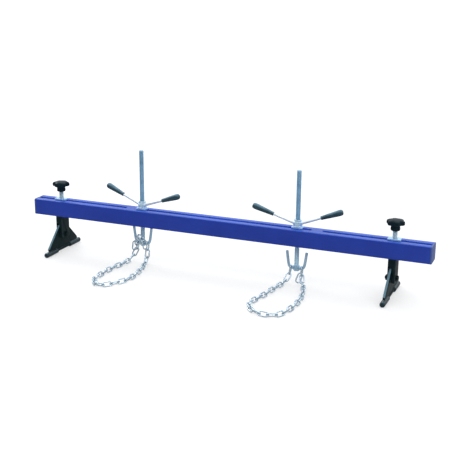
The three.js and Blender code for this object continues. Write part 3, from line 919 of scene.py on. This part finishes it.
# ------------------------------------------------------------------------ feet
FOOT_X = {"left": -659, "right": 628}
PIVOT_Z = 67.0


def box_part(x0, x1, y0, y1, z0, z1):
    v = [(x, y, z) for z in (z0, z1) for x, y in ((x0, y0), (x1, y0), (x1, y1), (x0, y1))]
    return v, [[3, 2, 1, 0], [4, 5, 6, 7], [0, 1, 5, 4], [1, 2, 6, 5], [2, 3, 7, 6], [3, 0, 4, 7]]


def solid_rod(radius, z0, z1, segments=40):
    return lathe([(0, z0), (radius, z0), (radius, z1), (0, z1)], segments)


def make_neck(side):
    x = FOOT_X[side]
    at = shift(x, 0, 0)
    ob = mesh_of("neck", [moved(prism(rrect(27, 50, 1.8, 5), 56, 140.7), at)])
    cutters = [
        mesh_of("c1", [moved(prism(rrect(21, 44, 0.8, 3), 50, 122), at)]),
        mesh_of("c2", [moved(box_part(-10.5, 0.8, -30, 30, 50, 110), at)]),
        mesh_of("c3", [moved(moved(solid_rod(6.3, -20, 20), TO_X), shift(x, 0, PIVOT_Z))]),
    ]
    boolean(ob, cutters)
    tongue = mesh_of("tongue", [moved(box_part(-11, 11, -8.6, 8.6, 139, 145.7), at)])
    boolean(ob, [tongue], "UNION")
    boolean(ob, [mesh_of("c4", [moved(solid_rod(8.3, 118, 150), at)])])
    bevelled(ob, 0.7, 2, 40)
    put(f"foot_neck_{side}_formed", ob, f"foot_carriage_{side}", [f"foot_neck_{side}"], BLACK, 40)


def make_foot_plate(side):
    x = FOOT_X[side]
    crown, half, toe, hem, middle, sole = 42, 98, 29, 20, 44, 11
    dropped = toe - PIVOT_Z
    reach = math.hypot(half, dropped)
    touch = math.degrees(math.atan2(dropped, half) + math.acos(crown / reach))
    arc = []
    for k in range(31):
        a = math.radians(touch + (180 - 2 * touch) * k / 30)
        arc.append((crown * math.cos(a), PIVOT_Z + crown * math.sin(a)))
    corners = [(half, hem), (half, toe)] + arc + [(-half, toe), (-half, hem), (-middle, hem), (-middle, sole), (middle, sole), (middle, hem)]
    radii = [2.5, 2.5] + [0] * len(arc) + [2.5, 2.5, 1.5, 1.5, 1.5, 1.5]
    outline = rounded(corners, radii, 4)
    plate = moved(prism(outline, -8, 0), YZ_TO_X)
    ob = mesh_of("plate", [moved(plate, shift(x, 0, 0))])
    boolean(ob, [mesh_of("c", [moved(moved(solid_rod(6.3, -20, 20), TO_X), shift(x, 0, PIVOT_Z))])])
    bevelled(ob, 1.1, 3, 40)
    bar = [(0, -113), (4.6, -113), (5.6, -112.6), (6, -111.6)]
    bar += [(6, -111.6 + 223.2 * k / 24) for k in range(1, 24)]
    bar += [(6, 111.6), (5.6, 112.6), (4.6, 113), (0, 113)]
    rod_part = moved(moved(lathe(bar, 32), TO_Y), shift(x - 4, 0, 9.5))
    parts = [rod_part]
    for s in (-1, 1):
        # fillet welds along both faces of the plate where it stands on the bar
        line = [(x - 4 + s * 4.4, -42.5 + 85 * k / 40, 14.3) for k in range(41)]
        parts.append(bead(line, 1.9, False, 2.4, 10, 9 + s))
    extra = mesh_of("bar", parts)
    bm = bmesh.new()
    bm.from_mesh(ob.data)
    bm.from_mesh(extra.data)
    bm.to_mesh(ob.data)
    bm.free()
    drop(extra)
    put(f"foot_plate_{side}_welded", ob, f"foot_{side}", [f"foot_plate_{side}"], BLACK, 40)
    rimmed(ob, 24, 106)


def make_sleeve(side, where, sign):
    x = FOOT_X[side]
    outer = [(8.2, 0.0), (9.3, 0.35), (9.8, 1.2), (9.8, 2.6), (9.5, 3.6)]
    outer += [(9.5 + 0.35 * math.sin(math.pi * k / 16), 3.6 + 64.4 * k / 16) for k in range(1, 16)]
    outer += [(9.6, 68.7), (9.4, 70.6), (8.7, 72.6), (7.4, 74.1), (5.6, 75.0), (3.4, 75.55), (1.5, 75.7), (0, 75.7)]
    profile = [(0, 68.9), (5.9, 68.9), (6.3, 68.4), (6.3, 1.0), (6.7, 0.3), (7.4, 0.0)] + outer
    part = moved(lathe(profile, 40), TO_Y)
    if sign < 0:
        part = moved(part, Matrix.Rotation(math.pi, 4, "Z"))
    ob = mesh_of("sleeve", [moved(part, shift(x - 4, sign * 44.3, 9.5))])
    put(f"foot_sleeve_{where}_{side}_moulded", ob, f"foot_{side}", [f"foot_sleeve_{where}_{side}"], RUBBER, 50)


def make_pivot(side):
    x = FOOT_X[side]
    at = shift(x, 0, PIVOT_Z)
    head = hexed(10.4, [(0, 13.8), (8.6, 13.8), (9.4, 14.2), (9.4, 14.5), (10.45, 14.6), (10.45, 19.2), (10.0, 20.1), (9.2, 20.6), (8.4, 20.8), (0, 20.8)], 72, 0.2)
    shank = lathe([(0, -12), (6, -12), (6, 14), (0, 14)], 36)
    tail = threaded(6.0, -25.5, -12, 1.75, 1.0, 24, 6, 1.2)
    ob = mesh_of("bolt", [moved(moved(head, TO_X), at), moved(moved(shank, TO_X), at), moved(moved(tail, TO_X), at)])
    put(f"foot_pivot_bolt_{side}_threaded", ob, f"foot_carriage_{side}", [f"foot_pivot_bolt_{side}"], BLACK, 35)
    nut = hexed(10.4, [(6.3, -23.0), (7.4, -23.0), (9.2, -22.8), (10.0, -22.2), (10.45, -21.2), (10.45, -15.6), (10.0, -14.6), (9.2, -14.0), (8.4, -13.8), (6.3, -13.8), (6.3, -23.0)], 72, 0.5)
    ob = mesh_of("nut", [moved(moved(nut, TO_X), at)])
    put(f"foot_pivot_nut_{side}_chamfered", ob, f"foot_carriage_{side}", [f"foot_pivot_nut_{side}"], BLACK, 35)
    spacer = ring_lathe([(6.3, 0.3), (9.5, 0.3), (10, 0.8), (10, 9.7), (9.5, 10.2), (6.3, 10.2)], 40)
    ob = mesh_of("spacer", [moved(moved(spacer, TO_X), at)])
    put(f"foot_pivot_spacer_{side}_turned", ob, f"foot_carriage_{side}", [f"foot_pivot_spacer_{side}"], BLACK, 40)


def slot_plate(x, length, width, thickness, tongue):
    z = BEAM_TOP + 0.3
    ob = mesh_of("slab", [moved(soft_slab(length, width, 1.6, z, z + thickness, 0.9, 3, 4), shift(x, 0, 0))])
    boolean(ob, [mesh_of("t", [moved(prism(rrect(tongue, 17.2, 1.2, 3), z - 6, z + 1), shift(x, 0, 0))])], "UNION")
    boolean(ob, [mesh_of("c", [moved(solid_rod(8.5, z - 9, z + 9), shift(x, 0, 0))])])
    return ob


KNOB_TURN = {"left": 22, "right": 52}


def make_knob(side):
    """A six-lobed knob: a hub that widens under a domed head."""
    lobes, scallop, out = 6, 3.2, 32.0
    # (radius, height, how much of the lobes is in it)
    profile = [
        (0, 233.8, 0), (8.6, 233.8, 0), (12.0, 233.9, 0), (14.4, 234.7, 0), (15.8, 236.3, 0), (16.3, 238.4, 0),
        (16.2, 241.5, 0.0), (15.7, 245.0, 0.0), (15.4, 248.0, 0.0), (15.7, 250.6, 0.05), (16.8, 252.6, 0.12), (19.0, 253.9, 0.28),
        (22.2, 254.4, 0.5), (26.0, 254.5, 0.78), (28.8, 254.8, 0.95), (30.6, 255.7, 1), (31.7, 257.4, 1), (32.1, 260.0, 1),
        (32.1, 263.6, 1), (31.6, 266.0, 1), (30.3, 267.9, 0.95), (28.0, 269.4, 0.8), (24.6, 270.6, 0.55), (20.0, 271.7, 0.3),
        (15.0, 272.5, 0.12), (10.0, 273.1, 0.03), (5.0, 273.4, 0), (0, 273.5, 0),
    ]

    def lobe(r, a, h, i):
        w = profile[i][2]
        if not w:
            return r
        wave = 0.5 * (1 - math.cos(lobes * a))
        wave = wave ** 1.25
        return r - 2 * scallop * w * wave

    part = lathe([(r, h) for r, h, _ in profile], 96, lobe)
    part = moved(part, shift(FOOT_X[side], 0, 0) @ Matrix.Rotation(math.radians(KNOB_TURN[side]), 4, "Z"))
    ob = mesh_of("knob", [part])
    m = ob.modifiers.new("sub", "SUBSURF")
    m.levels = m.render_levels = 1
    applied(ob)
    put(f"foot_star_knob_{side}_moulded", ob, f"star_knob_{side}", [f"foot_star_knob_{side}"], KNOB, 60)


for side in SIDES:
    make_neck(side)
    make_foot_plate(side)
    make_sleeve(side, "front", -1)
    make_sleeve(side, "rear", 1)
    make_pivot(side)
    ob = slot_plate(FOOT_X[side], 45, 28, 6, 34)
    put(f"foot_clamp_plate_{side}_punched", ob, f"foot_carriage_{side}", [f"foot_clamp_plate_{side}"], PLATE, 35)
    ob = mesh_of("screw", [moved(threaded(8.2, 130, 250, 2.0, 0.65, 24, 6, 1.4, 0.4), shift(FOOT_X[side], 0, 0))])
    put(f"foot_clamp_screw_{side}_threaded", ob, f"clamp_screw_{side}", [f"foot_clamp_screw_{side}"], SCREW, 35)
    make_knob(side)

# ----------------------------------------------------------------- screw lifts
ARM_TURN = {"left": -10, "right": 8}
WASHER_LOW = 207.6
NUT_LOW = 210.9


def make_lift_nut(side):
    z = NUT_LOW
    at = shift(LIFT_X[side], 0, 0) @ Matrix.Rotation(math.radians(ARM_TURN[side]), 4, "Z")
    flange = ring_lathe([
        (8.3, z + 0.4), (8.8, z), (14.4, z), (15.2, z + 0.3), (15.5, z + 1.1), (15.5, z + 12.6), (15.2, z + 13.5), (14.4, z + 14.0), (8.3, z + 14.0),
    ], 64)
    crown = hexed(13.9, [
        (8.3, z + 13), (13.95, z + 13), (13.95, z + 19.6), (13.5, z + 20.7), (12.8, z + 21.5), (12.0, z + 22.0), (9.2, z + 22.0), (8.3, z + 21.2), (8.3, z + 13),
    ], 72, 0.1)
    ob = mesh_of("nut", [moved(flange, at), moved(crown, at)])
    put(f"lift_nut_{side}_chamfered", ob, f"lift_nut_{side}", [f"lift_nut_{side}"], ZINC, 35)


def leaned(part, side, sign):
    m = shift(LIFT_X[side], 0, 214) @ Matrix.Rotation(math.radians(ARM_TURN[side]), 4, "Z")
    if sign < 0:
        m = m @ Matrix.Rotation(math.pi, 4, "Z")
    return moved(part, m @ Matrix.Rotation(math.radians(70), 4, "Y"))


ARM_EXTRA = {("left", "inner"): 6, ("left", "outer"): 0, ("right", "inner"): 0, ("right", "outer"): -6}


def make_arm(side, where, sign):
    extra = ARM_EXTRA[(side, where)]
    end = 160 + extra
    bar = [(0, 13), (4.4, 13)] + [(4.4, 13 + (end - 15) * k / 12) for k in range(1, 13)] + [(3.8, end - 0.6), (2.9, end), (0, end)]
    parts = [leaned(lathe(bar, 28), side, sign)]
    root = []
    for k in range(40):
        a = 2 * math.pi * k / 40
        # the weld follows the round of the nut
        h = 16.2 - 0.36 * (4.6 * math.cos(a)) - 0.035 * (4.6 * math.sin(a)) ** 2
        root.append((4.5 * math.cos(a), 4.5 * math.sin(a), h + 0.4))
    parts.append(leaned(bead(root, 1.15, True, 1.7, 8, 21), side, sign))
    ob = mesh_of("arm", parts)
    put(f"lift_arm_{where}_{side}_welded", ob, f"lift_nut_{side}", [f"lift_arm_{where}_{side}"], BRIGHT, 45)
    s = 91.0 + extra
    grip = [
        (0, s + 69.4), (4.3, s + 69.4), (4.7, s + 69), (4.7, s + 0.8), (5.2, s), (5.9, s), (6.9, s + 0.5), (7.4, s + 1.6), (7.4, s + 3.0),
        (6.9, s + 4.2), (6.9, s + 6.0), (7.3, s + 10), (7.8, s + 16), (8.3, s + 24), (8.9, s + 34), (9.6, s + 45), (10.3, s + 56),
        (10.75, s + 64), (10.8, s + 69), (10.5, s + 73), (9.7, s + 76), (8.2, s + 78.3), (6.0, s + 79.5), (3.2, s + 79.95), (0, s + 80),
    ]
    ob = mesh_of("grip", [leaned(lathe(grip, 40), side, sign)])
    m = ob.modifiers.new("sub", "SUBSURF")
    m.levels = m.render_levels = 1
    applied(ob)
    put(f"lift_grip_{where}_{side}_dipped", ob, f"lift_nut_{side}", [f"lift_grip_{where}_{side}"], GRIP, 60)


PRONG = [(9.8, 11.5), (15, 9.6), (20.5, 9.4), (26, 14.5), (29.6, 25), (31.8, 38), (34, 54), (36, 69)]


def make_hook(side):
    x, z0 = LIFT_X[side], HOOK_Z[side]
    parts = [moved(lathe([(0, 0), (8, 0), (9.8, 0.6), (10.8, 2.2), (11.2, 8), (11, 14.5), (10.2, 16.8), (9.0, 18), (0, 18)], 48), shift(x, 0, z0))]
    for s in (-1, 1):
        line = curve_through([(x + s * (px if i else 6), 0, z0 + pz) for i, (px, pz) in enumerate(PRONG)], 8)
        line = [tuple(q) for q in line]
        parts.append(rounded_end_tube(line, 5.0, 28, 0.22, 3))
        # the weld that joins the prong to the hub
        ringed = []
        for k in range(30):
            a = 2 * math.pi * k / 30
            ringed.append((x + s * 12.4, 5.6 * math.cos(a), z0 + 10.6 + 5.4 * math.sin(a)))
        parts.append(bead(ringed, 2.0, True, 2.6, 8, 31 + s))
    collar = [(x + 9.2 * math.cos(2 * math.pi * k / 40), 9.2 * math.sin(2 * math.pi * k / 40), z0 + 18.2) for k in range(40)]
    parts.append(bead(collar, 1.9, True, 2.4, 8, 41))
    ob = mesh_of("hook", parts)
    remeshed(ob, 0.75, 4)
    put(f"lift_double_hook_{side}_forged", ob, f"lift_rod_{side}", [f"lift_double_hook_{side}"], FORGED, 180)


for side in SIDES:
    ob = slot_plate(LIFT_X[side], 39, 28, 6, 28)
    put(f"lift_guide_plate_{side}_punched", ob, f"lift_carriage_{side}", [f"lift_guide_plate_{side}"], PLATE, 35)
    z = WASHER_LOW
    washer = ring_lathe([(8.5, z + 0.3), (8.8, z), (16.5, z), (17, z + 0.5), (17, z + 2.4), (16.4, z + 3), (8.9, z + 3), (8.5, z + 2.6)], 56)
    ob = mesh_of("washer", [moved(washer, shift(LIFT_X[side], 0, 0))])
    put(f"lift_thrust_washer_{side}_turned", ob, f"lift_carriage_{side}", [f"lift_thrust_washer_{side}"], ZINC, 40)
    make_lift_nut(side)
    for where, sign in (("inner", 1 if side == "left" else -1), ("outer", -1 if side == "left" else 1)):
        make_arm(side, where, sign)
    z0 = HOOK_Z[side]
    ob = mesh_of("rod", [moved(threaded(8.2, z0 + 1, z0 + 359, 2.0, 0.65, 24, 6, 1.6, 1.1), shift(LIFT_X[side], 0, 0))])
    put(f"lift_rod_{side}_threaded", ob, f"lift_rod_{side}", [f"lift_rod_{side}"], STUD, 35)
    make_hook(side)


# ------------------------------------------------------------ floor and lights
def make_floor():
    parts = [([(-90000, -90000, 0), (90000, -90000, 0), (90000, 90000, 0), (-90000, 90000, 0)], [[0, 1, 2, 3]])]
    ob = mesh_of("floor", parts)
    m, nodes, links, b, at = blank("pale_floor")
    cloud = noise_of(nodes, links, at, 1.7, 3.0)
    links.new(ramp(nodes, links, cloud, [(0.3, (0.39, 0.39, 0.39)), (0.7, (0.41, 0.41, 0.41))]), b.inputs["Base Color"])
    b.inputs["Emission Color"].default_value = (1.0, 1.0, 1.0, 1.0)
    b.inputs["Emission Strength"].default_value = 0.52
    links.new(span(nodes, links, cloud, 0.3, 0.7, 0.85, 0.95), b.inputs["Roughness"])
    b.inputs["Specular IOR Level"].default_value = 0.1
    ob.data.materials.append(m)
    ob.visible_glossy = False


def make_lights():
    world = bpy.data.worlds.new("studio")
    bpy.context.scene.world = world
    world.use_nodes = True
    nodes, links = world.node_tree.nodes, world.node_tree.links
    nodes.clear()
    out = nodes.new("ShaderNodeOutputWorld")
    back = nodes.new("ShaderNodeBackground")
    way = nodes.new("ShaderNodeSeparateXYZ")
    links.new(nodes.new("ShaderNodeTexCoord").outputs["Generated"], way.inputs["Vector"])

    def eased(source, a, b, low, high):
        n = nodes.new("ShaderNodeMapRange")
        n.interpolation_type = "SMOOTHSTEP"
        for k, v in zip(("From Min", "From Max", "To Min", "To Max"), (a, b, low, high)):
            n.inputs[k].default_value = v
        links.new(source, n.inputs["Value"])
        return n.outputs["Result"]

    high = eased(way.outputs["Z"], 0.2, 1.0, 0.0, 1.7)
    far = eased(way.outputs["Y"], 0.0, 0.9, 0.15, 0.85)
    above = math_of(nodes, links, "ADD", high, far)
    over = eased(way.outputs["Z"], -0.06, 0.06, 0.0, 1.0)
    under = math_of(nodes, links, "MULTIPLY", math_of(nodes, links, "SUBTRACT", 1.0, over), 0.36)
    links.new(math_of(nodes, links, "ADD", math_of(nodes, links, "MULTIPLY", above, over), under), back.inputs["Strength"])
    back.inputs["Color"].default_value = (0.985, 0.995, 1.0, 1)
    links.new(back.outputs["Background"], out.inputs["Surface"])
    for name, spot, size, energy in (("left_box", (-2.4, 1.2, 2.0), 1.1, 22), ("right_box", (2.6, -0.6, 1.6), 0.8, 8)):
        data = bpy.data.lights.new(name, "AREA")
        data.shape = "RECTANGLE"
        data.size, data.size_y = size, size * 0.6
        data.energy = energy
        box = bpy.data.objects.new(name, data)
        bpy.context.scene.collection.objects.link(box)
        box.location = spot
        box.rotation_mode = "QUATERNION"
        box.rotation_quaternion = (Vector(spot) - Vector((0, 0, 0.2))).to_track_quat("Z", "Y")


make_floor()
make_lights()
bpy.context.scene.view_settings.view_transform = "Standard"
bpy.context.scene.view_settings.look = "None"
